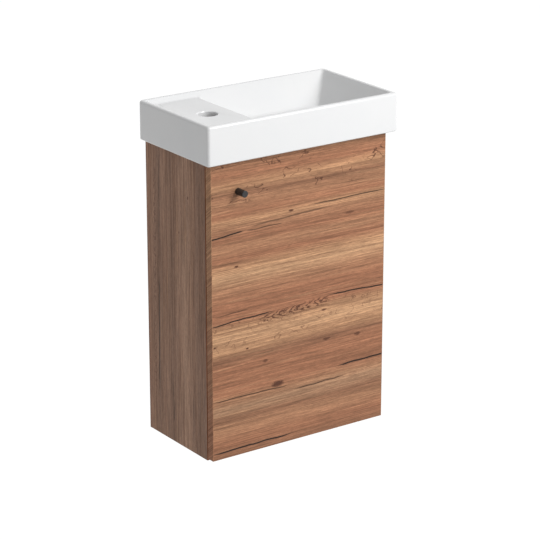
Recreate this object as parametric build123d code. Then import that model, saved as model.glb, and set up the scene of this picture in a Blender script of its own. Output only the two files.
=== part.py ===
from build123d import *
import math
import os

# Wall-hung cloakroom vanity unit: ceramic basin on a one-door cabinet.
# Millimetres. X runs to the right seen from the front, Y runs back to the wall,
# which is the plane y = 0, and Z runs up from the underside of the cabinet.

# Basin
BASIN_WIDTH = 400.0
BASIN_DEPTH = 220.0
BASIN_HEIGHT = 70.0
BASIN_FRONT_CORNER = 6.0
BASIN_BACK_CORNER = 10.0
BASIN_TOP_ROUND = 5.0
BASIN_FOOT_ROUND = 3.0
RIM_WIDTH = 8.5
RIM_INNER_ROUND = 3.0
LEDGE_WIDTH = 104.5
LEDGE_DROP = 9.0
LEDGE_CORNER = 8.0
LEDGE_ROUND = 5.0
LEDGE_LIP_ROUND = 2.0
BOWL_DEPTH = 53.0
WALL_SLOPE = 0.79
BOWL_LEFT_SLOPE = 0.25
BOWL_FLOOR_ROUND = 12.0
BOWL_LEFT_CORNER = 12.0
BOWL_RIGHT_CORNER = 8.0
CERAMIC = 11.0
LAND_WIDTH = 42.0
TAP_HOLE_R = 17.5
TAP_HOLE_ROUND = 2.5
TAP_FROM_LEFT = 67.0
TAP_FROM_WALL = 118.0
WASTE_HOLE_R = 23.0
WASTE_SEAT_R = 31.0
WASTE_SEAT_DEPTH = 2.0

# Cabinet boards
CABINET_WIDTH = 370.0
CABINET_HEIGHT = 545.0
CARCASS_DEPTH = 187.0
BOARD = 16.0
EDGE_BAND = 0.8
PAD_THICKNESS = 1.0
PAD_R = 5.0
PAD_FROM_ENDS = 22.0
FRONT_RAIL_DEPTH = 40.0
RAIL_TO_WALL = 14.0
TOP_RAIL_HEIGHT = 80.0
LOWER_RAIL_HEIGHT = 60.0
SHELF_HEIGHT = 258.0
SHELF_DEPTH = 105.0
SHELF_SETBACK = 12.0
SHELF_SIDE_GAP = 0.8

# Board joints
DOWEL_R = 4.0
DOWEL_LENGTH = 28.0
DOWEL_IN_SIDE = 10.0
DOWEL_END_GAP = 1.0
JOINT_CLEARANCE = 0.05
CAM_R = 7.5
CAM_DEPTH = 12.5
CAM_TO_END = 24.0
CAM_BOLT_R = 2.5
CAM_BOLT_HEAD_R = 3.0
CAM_BOLT_IN_SIDE = 10.0
CAM_BOLT_HEAD = 5.0
CAM_BOLT_WAY = 0.4
BOTTOM_DOWELS_FROM_WALL = (40.0, 150.0)
BOTTOM_CAM_FROM_WALL = 95.0
FRONT_DOWEL_SETBACK = 11.0
FRONT_CAM_SETBACK = 28.0
TOP_DOWEL_DROP = 46.0
TOP_CAM_DROP = 66.0
LOWER_DOWEL_RISE = 18.0
LOWER_CAM_RISE = 42.0

# Shelf pins
PIN_R = 2.5
PIN_IN_SIDE = 8.0
PIN_TONGUE = (9.0, 8.0, 2.0)
PIN_FROM_SHELF_EDGE = 15.0
PIN_PITCH = 32.0
PIN_ROWS = 3

# Wall hangers
HANGER_WIDTH = 14.0
HANGER_DEPTH = 42.0
HANGER_HEIGHT = 50.0
HANGER_DROP = 6.0
HANGER_PEG_R = 5.0
HANGER_PEG_LENGTH = 10.0
HANGER_PEG_SPACING = 32.0
HOOK_THICKNESS = 3.0
HOOK_HEIGHT = 16.0
HOOK_DROP = 10.0
HOOK_IN_HOUSING = 30.0
HOOK_CLEARANCE = 0.5
HOOK_TO_WALL = 1.0
CLAW_LENGTH = 14.0
CLAW_THICKNESS = 2.4
NOTCH_WIDTH = 20.0
NOTCH_HEIGHT = 34.0
PLATE_WIDTH = 34.0
PLATE_THICKNESS = 2.0
PLATE_STANDOFF = 4.0
PLATE_SIDE_GAP = 2.0
LIP_HEIGHT = 16.0
PLATE_DROP = 48.0
WALL_SCREW_R = 3.0
WALL_SCREW_FIRST = 12.0
WALL_SCREW_SPACING = 25.0
HANGER_SCREW_R = 3.0
HANGER_SCREW_LENGTH = 12.0
HANGER_SCREW_SPACING = 24.0

# Door
DOOR_THICKNESS = 16.0
DOOR_GAP = 2.0
DOOR_BOTTOM = 4.0
DOOR_TOP_GAP = 3.0
KNOB_R = 6.0
KNOB_LENGTH = 22.0
KNOB_CHAMFER = 0.6
KNOB_FROM_EDGE = 55.0
KNOB_FROM_TOP = 53.0
KNOB_THREAD_R = 2.0
KNOB_THREAD_DEPTH = 10.0
KNOB_SCREW_IN_KNOB = 8.0
KNOB_SCREW_WAY = 0.3
KNOB_SCREW_HEAD_R = 4.0
KNOB_SCREW_HEAD = 2.4
BUMPER_R = 4.5
BUMPER_THICKNESS = 1.6
BUMPER_INSET = 15.0

# Concealed hinges, measured from the door's edge and inner face, and from the
# inner face and front edge of the right side panel
HINGE_FROM_DOOR_END = 100.0
CUP_R = 17.5
CUP_FROM_EDGE = 3.0
CUP_DEPTH = 12.4
CUP_WALL = 0.8
CUP_CLEARANCE = 0.1
CUP_FLANGE = 1.0
CUP_FLANGE_R = 18.3
CUP_EAR_WIDTH = 12.0
CUP_SCREW_OFFSET = 9.5
CUP_SCREW_SPACING = 45.0
SCREW_R = 1.75
SCREW_LENGTH = 11.0
SCREW_HEAD_R = 3.5
SCREW_HEAD = 1.8
PIVOT_R = 1.0
PIVOT_RUNNING = 0.05
OUTER_CUP_PIVOT = (7.0, 3.5)
INNER_CUP_PIVOT = (9.7, 8.4)
OUTER_ARM_PIVOT = (7.3, 19.0)
INNER_ARM_PIVOT = (7.0, 11.5)
CUP_PIN_HALF = 9.2
CUP_BOSS_INSIDE = 7.4
CUP_BOSS_SIDE = 2.4
CUP_BOSS_BELOW = 1.0
LINK_HALF_WIDTH = 1.5
OUTER_LINK_INSIDE = 3.1
OUTER_LINK_OUTSIDE = 4.6
OUTER_LINK_EYE = 2.0
OUTER_LINK_BARREL = 2.2
INNER_LINK_HALF_WIDTH = 1.3
INNER_LINK_HALF_HEIGHT = 2.4
INNER_LINK_EYE = 2.2
SLOT_OFFSET = 1.24
SLOT_HALF_LENGTH = 1.1
SLOT_HALF_WIDTH = 1.8
SLOT_WALL = 1.0
OUTER_LINK_FIRST = (205.0, 7.0)
OUTER_LINK_SECOND = (-13.5, 3.0)
OUTER_LINK_THIRD = (-1.2, -16.0)
OUTER_LINK_FOURTH = (-3.1, -7.5)
INNER_LINK_FIRST = (197.0, 5.2)
INNER_LINK_SECOND = (172.0, 7.5)
INNER_LINK_THIRD = (-1.2, -16.5)
INNER_LINK_FOURTH = (-1.5, -8.5)
ARM_INSIDE = 5.2
ARM_PLATE = 1.2
ARM_WIDTH = 13.3
ARM_TO_PANEL = 3.1
ARM_BACK = 69.0
ARM_CHANNEL_FRONT = 22.0
ARM_NOSE_R = 3.9
MOUNT_PLATE = 2.5
MOUNT_PLATE_HALF_HEIGHT = 22.0
MOUNT_PLATE_WIDTH = 20.0
MOUNT_BLOCK_HALF_HEIGHT = 5.1
MOUNT_BLOCK_FRONT = 27.0
MOUNT_SCREW_SPACING = 32.0
MOUNT_SCREW_SETBACK = 37.0
ARM_SCREW_R = 2.0
ARM_SCREW_HEAD_R = 3.5
ARM_SCREW_HEAD = 2.0
ARM_SCREW_LENGTH = 9.0
ARM_SCREW_SETBACKS = (33.0, 52.0)
ARM_SCREW_WAY = 0.3

# Cross recess in every screw head
RECESS_DEPTH = 1.0
RECESS_WIDTH = 0.9
RECESS_SHARE = 1.3

# Places worked out from the sizes above
HALF = CABINET_WIDTH / 2
INNER = HALF - BOARD
CARCASS_TOP = CABINET_HEIGHT - PAD_THICKNESS
CARCASS_FRONT = -CARCASS_DEPTH
CORE_FRONT = CARCASS_FRONT + EDGE_BAND
RAIL_BACK = -RAIL_TO_WALL
RAIL_FRONT = RAIL_BACK - BOARD
DOOR_BACK = CARCASS_FRONT - DOOR_GAP
DOOR_FRONT = DOOR_BACK - DOOR_THICKNESS
DOOR_TOP = CABINET_HEIGHT - DOOR_TOP_GAP
BASIN_TOP = CABINET_HEIGHT + BASIN_HEIGHT
LEDGE_TOP = BASIN_TOP - LEDGE_DROP
BOWL_FLOOR = BASIN_TOP - BOWL_DEPTH
TAP_X = -BASIN_WIDTH / 2 + TAP_FROM_LEFT
BOWL_LEFT = -BASIN_WIDTH / 2 + RIM_WIDTH + LEDGE_WIDTH
BOWL_RIGHT = BASIN_WIDTH / 2 - RIM_WIDTH
HINGE_HEIGHTS = {
    "upper": DOOR_TOP - HINGE_FROM_DOOR_END,
    "lower": DOOR_BOTTOM + HINGE_FROM_DOOR_END,
}


def slab(x, y, z):
    """A box between two limits on each axis."""
    middle = [(low + high) / 2 for low, high in (x, y, z)]
    return Pos(*middle) * Box(x[1] - x[0], y[1] - y[0], z[1] - z[0])


def rod(radius, start, direction, length):
    """A round bar that leaves the start point along a direction."""
    plane = Plane(origin=start, z_dir=direction)
    return plane * Cylinder(radius, length, align=(Align.CENTER, Align.CENTER, Align.MIN))


def together(pieces):
    """Several separate solids as one group."""
    return Compound(children=[solid for piece in pieces for solid in piece.solids()])


def polar(point, angle, length):
    """The plan point at an angle in degrees and a distance from another."""
    turn = math.radians(angle)
    return (point[0] + length * math.cos(turn), point[1] + length * math.sin(turn))


def shifted(point, dx, dy):
    return (point[0] + dx, point[1] + dy)


def bar_outline(points, half_width):
    """Plan outline of a flat bar that follows points, with round corners and ends."""
    outline = Sketch()
    for x, y in points:
        outline += Pos(x, y) * Circle(half_width)
    for (x0, y0), (x1, y1) in zip(points, points[1:]):
        length = math.hypot(x1 - x0, y1 - y0)
        angle = math.degrees(math.atan2(y1 - y0, x1 - x0))
        middle = Pos((x0 + x1) / 2, (y0 + y1) / 2)
        outline += middle * Rot(0, 0, angle) * Rectangle(length, 2 * half_width)
    return outline


def between(outline, low, high):
    """A plan outline made solid between two heights."""
    return Pos(0, 0, low) * extrude(outline, high - low, dir=(0, 0, 1))


def pin(point, radius, low, high):
    """An upright round pin at a plan point."""
    return rod(radius, (point[0], point[1], low), (0, 0, 1), high - low)


def screw(head_r, head, shank_r, length, seat, direction):
    """A screw whose head stands on the seat point and whose shank follows the direction."""
    into = Vector(*direction)
    back = -into
    top = Vector(*seat) + back * head
    body = rod(head_r, tuple(seat), tuple(back), head)
    body += rod(shank_r, tuple(seat), tuple(into), length)
    face = Plane(origin=tuple(top), z_dir=tuple(back))
    arm = face * Box(head_r * RECESS_SHARE, RECESS_WIDTH, 2 * RECESS_DEPTH)
    other = face * Box(RECESS_WIDTH, head_r * RECESS_SHARE, 2 * RECESS_DEPTH)
    return body - arm - other


def edge_direction_z(edge):
    return abs((edge @ 1 - edge @ 0).Z)


# Basin

def sloped_pocket(low_x, low_y, floor, height, slopes):
    """A pocket whose four walls lean outward: slopes are left, right, front and back."""
    left, right, front, back = slopes
    high_x = (low_x[0] - height * left, low_x[1] + height * right)
    high_y = (low_y[0] - height * front, low_y[1] + height * back)
    outlines = []
    for x, y, z in ((low_x, low_y, floor), (high_x, high_y, floor + height)):
        plate = Rectangle(x[1] - x[0], y[1] - y[0])
        outlines.append(Pos((x[0] + x[1]) / 2, (y[0] + y[1]) / 2, z) * plate)
    return loft(outlines, ruled=True)


def bowl_limits():
    """Plan limits of the bowl's floor, from where its walls reach the rim."""
    reach = BOWL_DEPTH * WALL_SLOPE
    left = BOWL_LEFT + (BOWL_DEPTH - LEDGE_DROP) * BOWL_LEFT_SLOPE
    x = (left, BOWL_RIGHT - reach)
    y = (-BASIN_DEPTH + RIM_WIDTH + reach, -RIM_WIDTH - reach)
    return x, y


def bowl_pocket():
    x, y = bowl_limits()
    slopes = (BOWL_LEFT_SLOPE, WALL_SLOPE, WALL_SLOPE, WALL_SLOPE)
    pocket = sloped_pocket(x, y, BOWL_FLOOR, BOWL_DEPTH + 1, slopes)
    middle = (x[0] + x[1]) / 2
    corners = [e for e in pocket.edges() if edge_direction_z(e) > BOWL_DEPTH / 2]
    pocket = fillet([e for e in corners if e.center().X > middle], BOWL_RIGHT_CORNER)
    corners = [e for e in pocket.edges() if edge_direction_z(e) > BOWL_DEPTH / 2]
    pocket = fillet([e for e in corners if e.center().X < middle], BOWL_LEFT_CORNER)
    return fillet(pocket.faces().sort_by(Axis.Z)[0].edges(), BOWL_FLOOR_ROUND)


def ledge_pocket():
    """The shallow recess of the tap ledge, which runs on into the bowl."""
    reach = LEDGE_DROP * WALL_SLOPE
    x = (-BASIN_WIDTH / 2 + RIM_WIDTH + reach, BOWL_LEFT + BOWL_FLOOR_ROUND)
    y = (-BASIN_DEPTH + RIM_WIDTH + reach, -RIM_WIDTH - reach)
    slopes = (WALL_SLOPE, 0, WALL_SLOPE, WALL_SLOPE)
    pocket = sloped_pocket(x, y, LEDGE_TOP, LEDGE_DROP + 1, slopes)
    corners = [e for e in pocket.edges() if edge_direction_z(e) > LEDGE_DROP / 2]
    pocket = fillet([e for e in corners if e.center().X < TAP_X], LEDGE_CORNER)
    floor_edges = pocket.faces().sort_by(Axis.Z)[0].edges()
    return fillet([e for e in floor_edges if e.center().X < BOWL_LEFT], LEDGE_ROUND)


def ledge_lip():
    """What comes off the sharp edge where the ledge drops into the bowl, to leave it round."""
    fall = math.hypot(1, BOWL_LEFT_SLOPE)
    half_angle = (math.pi / 2 + math.atan(BOWL_LEFT_SLOPE)) / 2
    reach = LEDGE_LIP_ROUND / math.tan(half_angle)
    on_ledge = (BOWL_LEFT - reach, LEDGE_TOP)
    on_wall = (BOWL_LEFT + reach * BOWL_LEFT_SLOPE / fall, LEDGE_TOP - reach / fall)
    outside = [
        on_ledge,
        shifted(on_ledge, 0, LEDGE_LIP_ROUND),
        (BOWL_LEFT + LEDGE_LIP_ROUND, LEDGE_TOP + LEDGE_LIP_ROUND),
        shifted(on_wall, LEDGE_LIP_ROUND, 0),
        on_wall,
    ]
    outline = make_face(Polyline(*outside, close=True))
    outline -= Pos(*shifted(on_ledge, 0, -LEDGE_LIP_ROUND)) * Circle(LEDGE_LIP_ROUND)
    floor_y = bowl_limits()[1]
    inset = (LEDGE_TOP - BOWL_FLOOR) * WALL_SLOPE - BOWL_LEFT_CORNER
    half_length = (floor_y[1] - floor_y[0]) / 2 + inset
    middle = Pos(0, (floor_y[0] + floor_y[1]) / 2, 0)
    return middle * extrude(Plane.XZ * outline, half_length, both=True)


def basin_outside():
    width = BASIN_WIDTH / 2
    body = slab((-width, width), (-BASIN_DEPTH, 0), (CABINET_HEIGHT, BASIN_TOP))
    upright = body.edges().filter_by(Axis.Z)
    front = upright.sort_by(Axis.Y)[:2]
    body = fillet(front, BASIN_FRONT_CORNER)
    upright = body.edges().filter_by(Axis.Z)
    body = fillet(upright.sort_by(Axis.Y)[-2:], BASIN_BACK_CORNER)
    body = fillet(body.faces().sort_by(Axis.Z)[-1].edges(), BASIN_TOP_ROUND)
    return fillet(body.faces().sort_by(Axis.Z)[0].edges(), BASIN_FOOT_ROUND)


def basin_underside():
    """The open hollows below the tap ledge and below the bowl."""
    bowl_x, bowl_y = bowl_limits()
    left = -BASIN_WIDTH / 2 + LAND_WIDTH
    front = -BASIN_DEPTH + LAND_WIDTH
    tap_space = slab(
        (left, bowl_x[0] - CERAMIC * (1 + BOWL_LEFT_SLOPE)),
        (front, -LAND_WIDTH),
        (CABINET_HEIGHT, LEDGE_TOP - CERAMIC),
    )
    bowl_space = slab(
        (left, bowl_x[1]),
        (bowl_y[0], bowl_y[1]),
        (CABINET_HEIGHT, BOWL_FLOOR - CERAMIC),
    )
    return tap_space, bowl_space


def waste_place():
    """Plan centre of the bowl's floor, where the waste goes."""
    x, y = bowl_limits()
    return ((x[0] + x[1]) / 2, (y[0] + y[1]) / 2)


def rim_edges(body):
    """The inner edges of the rim, where it turns down into the bowl and the ledge."""
    edges = body.edges().filter_by_position(Axis.Z, BASIN_TOP - 0.01, BASIN_TOP + 0.01)
    inside = BASIN_WIDTH / 2 - BASIN_TOP_ROUND - 0.01
    front = -BASIN_DEPTH + BASIN_TOP_ROUND + 0.01
    back = -BASIN_TOP_ROUND - 0.01
    edges = [e for e in edges if abs(e.center().X) < inside]
    return [e for e in edges if front < e.center().Y < back]


def basin():
    body = basin_outside() - (bowl_pocket() + ledge_pocket())
    body -= ledge_lip()
    for hollow in basin_underside():
        body -= hollow
    body = fillet(rim_edges(body), RIM_INNER_ROUND)
    x, y = waste_place()
    low = CABINET_HEIGHT - 1
    body -= rod(WASTE_HOLE_R, (x, y, low), (0, 0, 1), BASIN_HEIGHT)
    body -= rod(WASTE_SEAT_R, (x, y, BOWL_FLOOR - WASTE_SEAT_DEPTH), (0, 0, 1), BOWL_DEPTH)
    body -= rod(TAP_HOLE_R, (TAP_X, -TAP_FROM_WALL, low), (0, 0, 1), BASIN_HEIGHT + 2)
    mouth = [
        e
        for e in body.edges().filter_by(GeomType.CIRCLE)
        if abs(e.center().Z - LEDGE_TOP) < 0.01 and abs(e.radius - TAP_HOLE_R) < 0.01
    ]
    return fillet(mouth, TAP_HOLE_ROUND)


# Board joints: each dowel or cam is a place on the end of a board

def bottom_joints():
    height = BOARD / 2
    dowels = [(-y, height) for y in BOTTOM_DOWELS_FROM_WALL]
    return dowels, [(-BOTTOM_CAM_FROM_WALL, height)]


def front_rail_joints():
    height = CARCASS_TOP - BOARD / 2
    dowel = (CARCASS_FRONT + FRONT_DOWEL_SETBACK, height)
    cam = (CARCASS_FRONT + FRONT_CAM_SETBACK, height)
    return [dowel], [cam]


def top_rail_joints():
    y = (RAIL_FRONT + RAIL_BACK) / 2
    return [(y, CARCASS_TOP - TOP_DOWEL_DROP)], [(y, CARCASS_TOP - TOP_CAM_DROP)]


def lower_rail_joints():
    y = (RAIL_FRONT + RAIL_BACK) / 2
    return [(y, BOARD + LOWER_DOWEL_RISE)], [(y, BOARD + LOWER_CAM_RISE)]


ALL_JOINTS = [bottom_joints, front_rail_joints, top_rail_joints, lower_rail_joints]


def dowel(side, y, z, spare):
    """A dowel across the joint at one side, or its hole when spare room is asked for."""
    end_gap = DOWEL_END_GAP if spare else 0.0
    start = side * (INNER + DOWEL_IN_SIDE - DOWEL_END_GAP + end_gap)
    radius = DOWEL_R + spare
    return rod(radius, (start, y, z), (-side, 0, 0), DOWEL_LENGTH + 2 * end_gap)


def cam_bolt(side, y, z):
    """A cam bolt: its thread is in the side panel and its head is in the cam."""
    start = side * (INNER + CAM_BOLT_IN_SIDE)
    neck = CAM_BOLT_IN_SIDE + CAM_TO_END - CAM_BOLT_HEAD
    bolt = rod(CAM_BOLT_R, (start, y, z), (-side, 0, 0), neck)
    head = side * (INNER + CAM_BOLT_IN_SIDE - neck)
    return bolt + rod(CAM_BOLT_HEAD_R, (head, y, z), (-side, 0, 0), CAM_BOLT_HEAD)


def cam_bolt_hole(side, y, z):
    start = side * (INNER + CAM_BOLT_IN_SIDE)
    narrow = rod(CAM_BOLT_R, (start, y, z), (-side, 0, 0), CAM_BOLT_IN_SIDE)
    wide_r = CAM_BOLT_HEAD_R + CAM_BOLT_WAY
    reach = CAM_TO_END + CAM_BOLT_WAY
    return narrow + rod(wide_r, (side * INNER, y, z), (-side, 0, 0), reach)


def cam_space(side, y, z, open_side):
    """The round pocket of a cam, bored from the face that open_side points at."""
    into = Vector(*open_side) * -1
    face = Vector(side * (INNER - CAM_TO_END), y, z) + Vector(*open_side) * (BOARD / 2)
    return rod(CAM_R, tuple(face), tuple(into), CAM_DEPTH)


def cam(side, y, z, open_side):
    body = cam_space(side, y, z, open_side) - cam_bolt_hole(side, y, z)
    face = Vector(side * (INNER - CAM_TO_END), y, z) + Vector(*open_side) * (BOARD / 2)
    plane = Plane(origin=tuple(face), z_dir=open_side)
    body -= plane * Box(CAM_R * RECESS_SHARE, RECESS_WIDTH, 2 * RECESS_DEPTH)
    return body - plane * Box(RECESS_WIDTH, CAM_R * RECESS_SHARE, 2 * RECESS_DEPTH)


CAM_FACES = {
    bottom_joints: (0, 0, -1),
    front_rail_joints: (0, 0, 1),
    top_rail_joints: (0, 1, 0),
    lower_rail_joints: (0, 1, 0),
}


def jointed(board, joints):
    """A board with the dowel, bolt and cam holes of its two ends."""
    dowels, cams = joints()
    for side in (-1, 1):
        for y, z in dowels:
            board -= dowel(side, y, z, JOINT_CLEARANCE)
        for y, z in cams:
            board -= cam_bolt_hole(side, y, z)
            board -= cam_space(side, y, z, CAM_FACES[joints])
    return board


def all_dowels():
    pieces = []
    for joints in ALL_JOINTS:
        for side in (-1, 1):
            pieces += [dowel(side, y, z, 0) for y, z in joints()[0]]
    return together(pieces)


def all_cams():
    pieces = []
    for joints in ALL_JOINTS:
        for side in (-1, 1):
            pieces += [cam(side, y, z, CAM_FACES[joints]) for y, z in joints()[1]]
    return together(pieces)


def all_cam_bolts():
    pieces = []
    for joints in ALL_JOINTS:
        for side in (-1, 1):
            pieces += [cam_bolt(side, y, z) for y, z in joints()[1]]
    return together(pieces)


# Cabinet boards

def shelf_front():
    return CARCASS_FRONT + SHELF_SETBACK


def pin_places():
    """Depths of the two columns of shelf-pin holes."""
    front = shelf_front() + PIN_FROM_SHELF_EDGE
    back = shelf_front() + SHELF_DEPTH - PIN_FROM_SHELF_EDGE
    return front, back


def side_panel(side):
    x = sorted((side * INNER, side * HALF))
    board = slab(x, (CORE_FRONT, 0), (0, CARCASS_TOP))
    for joints in ALL_JOINTS:
        dowels, cams = joints()
        for y, z in dowels:
            board -= dowel(side, y, z, JOINT_CLEARANCE)
        for y, z in cams:
            board -= cam_bolt_hole(side, y, z)
    for y in pin_places():
        for row in range(-PIN_ROWS, PIN_ROWS + 1):
            z = SHELF_HEIGHT - PIN_R + row * PIN_PITCH
            start = (side * INNER, y, z)
            board -= rod(PIN_R, start, (side, 0, 0), PIN_IN_SIDE + DOWEL_END_GAP)
    for peg in hanger_pegs(side, JOINT_CLEARANCE):
        board -= peg
    if side > 0:
        for height in HINGE_HEIGHTS.values():
            for hole in plate_screw_shanks(height, JOINT_CLEARANCE):
                board -= hole
    return board


def bottom_panel():
    return jointed(slab((-INNER, INNER), (CORE_FRONT, 0), (0, BOARD)), bottom_joints)


def front_top_rail():
    y = (CORE_FRONT, CARCASS_FRONT + FRONT_RAIL_DEPTH)
    rail = slab((-INNER, INNER), y, (CARCASS_TOP - BOARD, CARCASS_TOP))
    return jointed(rail, front_rail_joints)


def rear_top_rail():
    z = (CARCASS_TOP - TOP_RAIL_HEIGHT, CARCASS_TOP)
    rail = slab((-INNER, INNER), (RAIL_FRONT, RAIL_BACK), z)
    for side in (-1, 1):
        x = sorted((side * (INNER - NOTCH_WIDTH), side * INNER))
        rail -= slab(x, (RAIL_FRONT, RAIL_BACK), (CARCASS_TOP - NOTCH_HEIGHT, CARCASS_TOP))
    return jointed(rail, top_rail_joints)


def rear_lower_rail():
    z = (BOARD, BOARD + LOWER_RAIL_HEIGHT)
    rail = slab((-INNER, INNER), (RAIL_FRONT, RAIL_BACK), z)
    return jointed(rail, lower_rail_joints)


def side_edge_bands():
    """The strips on the front edges of the two side panels."""
    y = (CARCASS_FRONT, CORE_FRONT)
    bands = [slab(sorted((s * INNER, s * HALF)), y, (0, CARCASS_TOP)) for s in (-1, 1)]
    return together(bands)


def cross_edge_bands():
    """The strips on the front edges of the bottom panel and the front rail."""
    y = (CARCASS_FRONT, CORE_FRONT)
    low = slab((-INNER, INNER), y, (0, BOARD))
    high = slab((-INNER, INNER), y, (CARCASS_TOP - BOARD, CARCASS_TOP))
    return together([low, high])


def shelf():
    x = INNER - SHELF_SIDE_GAP
    y = (shelf_front() + EDGE_BAND, shelf_front() + SHELF_DEPTH)
    return slab((-x, x), y, (SHELF_HEIGHT, SHELF_HEIGHT + BOARD))


def shelf_edge_band():
    x = INNER - SHELF_SIDE_GAP
    y = (shelf_front(), shelf_front() + EDGE_BAND)
    return slab((-x, x), y, (SHELF_HEIGHT, SHELF_HEIGHT + BOARD))


def shelf_pins():
    """Four spoon pins, each with its tongue flat under the shelf."""
    long, wide, thick = PIN_TONGUE
    pieces = []
    for side in (-1, 1):
        for y in pin_places():
            axis = (side * INNER, y, SHELF_HEIGHT - PIN_R)
            shank = rod(PIN_R - JOINT_CLEARANCE, axis, (side, 0, 0), PIN_IN_SIDE)
            x = sorted((side * INNER, side * (INNER - long)))
            z = (SHELF_HEIGHT - thick, SHELF_HEIGHT)
            tongue = slab(x, (y - wide / 2, y + wide / 2), z)
            stub = rod(PIN_R - JOINT_CLEARANCE, axis, (-side, 0, 0), long / 2)
            pieces.append(shank + tongue + stub)
    return together(pieces)


def basin_pads():
    """Clear dots between the cabinet's top edges and the basin."""
    x = INNER + BOARD / 2
    depths = (-PAD_FROM_ENDS, CARCASS_FRONT + PAD_FROM_ENDS)
    places = [(side * x, y, CARCASS_TOP) for side in (-1, 1) for y in depths]
    return together([rod(PAD_R, place, (0, 0, 1), PAD_THICKNESS) for place in places])


# Wall hangers

HANGER_TOP = CARCASS_TOP - HANGER_DROP
HOOK_TOP = CARCASS_TOP - HOOK_DROP
HOOK_BOTTOM = HOOK_TOP - HOOK_HEIGHT
HOOK_X = INNER - HANGER_WIDTH / 2
LIP_BOTTOM = HOOK_BOTTOM - LIP_HEIGHT
PLATE_BOTTOM = LIP_BOTTOM - PLATE_DROP
PLATE_X = INNER - PLATE_SIDE_GAP - PLATE_WIDTH / 2
WALL_SCREW_TOP = LIP_BOTTOM - WALL_SCREW_FIRST


def hanger_pegs(side, spare):
    """The two pegs that hold a hanger housing to its side panel, or their holes."""
    y = RAIL_FRONT - HANGER_DEPTH / 2
    middle = HANGER_TOP - HANGER_HEIGHT / 2
    heights = [middle + k * HANGER_PEG_SPACING / 2 for k in (-1, 1)]
    start = side * INNER
    length = HANGER_PEG_LENGTH + (DOWEL_END_GAP if spare else 0)
    return [rod(HANGER_PEG_R + spare, (start, y, z), (side, 0, 0), length) for z in heights]


def hanger_screw_places(side):
    middle = HANGER_TOP - HANGER_HEIGHT / 2
    heights = [middle + k * HANGER_SCREW_SPACING / 2 for k in (-1, 1)]
    return [(side * HOOK_X, RAIL_FRONT - HANGER_DEPTH, z) for z in heights]


def hook_plate(side, spare):
    """The bar of a hook with its room in the housing."""
    x = (side * HOOK_X - HOOK_THICKNESS / 2 - spare, side * HOOK_X + HOOK_THICKNESS / 2 + spare)
    y = (RAIL_FRONT - HOOK_IN_HOUSING - spare, -HOOK_TO_WALL)
    return slab(x, y, (HOOK_BOTTOM - spare, HOOK_TOP + spare))


def hanger_housing(side):
    x = sorted((side * (INNER - HANGER_WIDTH), side * INNER))
    y = (RAIL_FRONT - HANGER_DEPTH, RAIL_FRONT)
    body = slab(x, y, (HANGER_TOP - HANGER_HEIGHT, HANGER_TOP))
    for peg in hanger_pegs(side, 0):
        body += peg
    body -= hook_plate(side, HOOK_CLEARANCE / 2)
    for place in hanger_screw_places(side):
        body -= rod(HANGER_SCREW_R, place, (0, 1, 0), HANGER_SCREW_LENGTH)
    return body


def hanger_hook(side):
    """A hook: a bar through the rail's notch, with a claw down behind the wall plate."""
    bar = hook_plate(side, 0)
    x = (side * HOOK_X - HOOK_THICKNESS / 2, side * HOOK_X + HOOK_THICKNESS / 2)
    y = (-HOOK_TO_WALL - CLAW_THICKNESS, -HOOK_TO_WALL)
    claw = slab(x, y, (HOOK_BOTTOM - CLAW_LENGTH, HOOK_TOP))
    return bar + claw


def hanger_screws():
    """The height and depth adjusters on the front of each housing."""
    pieces = []
    for side in (-1, 1):
        for place in hanger_screw_places(side):
            body = rod(HANGER_SCREW_R, place, (0, 1, 0), HANGER_SCREW_LENGTH)
            face = Plane(origin=place, z_dir=(0, -1, 0))
            long = HANGER_SCREW_R * RECESS_SHARE
            body -= face * Box(long, RECESS_WIDTH, 2 * RECESS_DEPTH)
            body -= face * Box(RECESS_WIDTH, long, 2 * RECESS_DEPTH)
            pieces.append(body)
    return together(pieces)


def wall_plate(side):
    """A wall plate: a screwed leaf against the wall and a lip that stands off it."""
    x = sorted((side * (PLATE_X - PLATE_WIDTH / 2), side * (PLATE_X + PLATE_WIDTH / 2)))
    leaf = slab(x, (-PLATE_THICKNESS, 0), (PLATE_BOTTOM, LIP_BOTTOM))
    lip_front = -PLATE_STANDOFF - PLATE_THICKNESS
    lip = slab(x, (lip_front, -PLATE_STANDOFF), (LIP_BOTTOM - PLATE_THICKNESS, HOOK_BOTTOM))
    step = slab(x, (lip_front, 0), (LIP_BOTTOM - PLATE_THICKNESS, LIP_BOTTOM))
    plate = leaf + lip + step
    for z in (WALL_SCREW_TOP, WALL_SCREW_TOP - WALL_SCREW_SPACING):
        start = (side * PLATE_X, lip_front, z)
        plate -= rod(WALL_SCREW_R, start, (0, 1, 0), PLATE_THICKNESS - lip_front)
    return plate


# Door

KNOB_X = -HALF + KNOB_FROM_EDGE
KNOB_Z = DOOR_TOP - KNOB_FROM_TOP


def door_panel():
    x = HALF - EDGE_BAND
    z = (DOOR_BOTTOM + EDGE_BAND, DOOR_TOP - EDGE_BAND)
    board = slab((-x, x), (DOOR_FRONT, DOOR_BACK), z)
    way = KNOB_THREAD_R + KNOB_SCREW_WAY
    board -= rod(way, (KNOB_X, DOOR_BACK, KNOB_Z), (0, -1, 0), DOOR_THICKNESS)
    for height in HINGE_HEIGHTS.values():
        place = (CUP_X, DOOR_BACK, height)
        board -= rod(CUP_R, place, (0, -1, 0), CUP_DEPTH + CUP_CLEARANCE)
        for hole in cup_screw_shanks(height, JOINT_CLEARANCE):
            board -= hole
    return board


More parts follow.
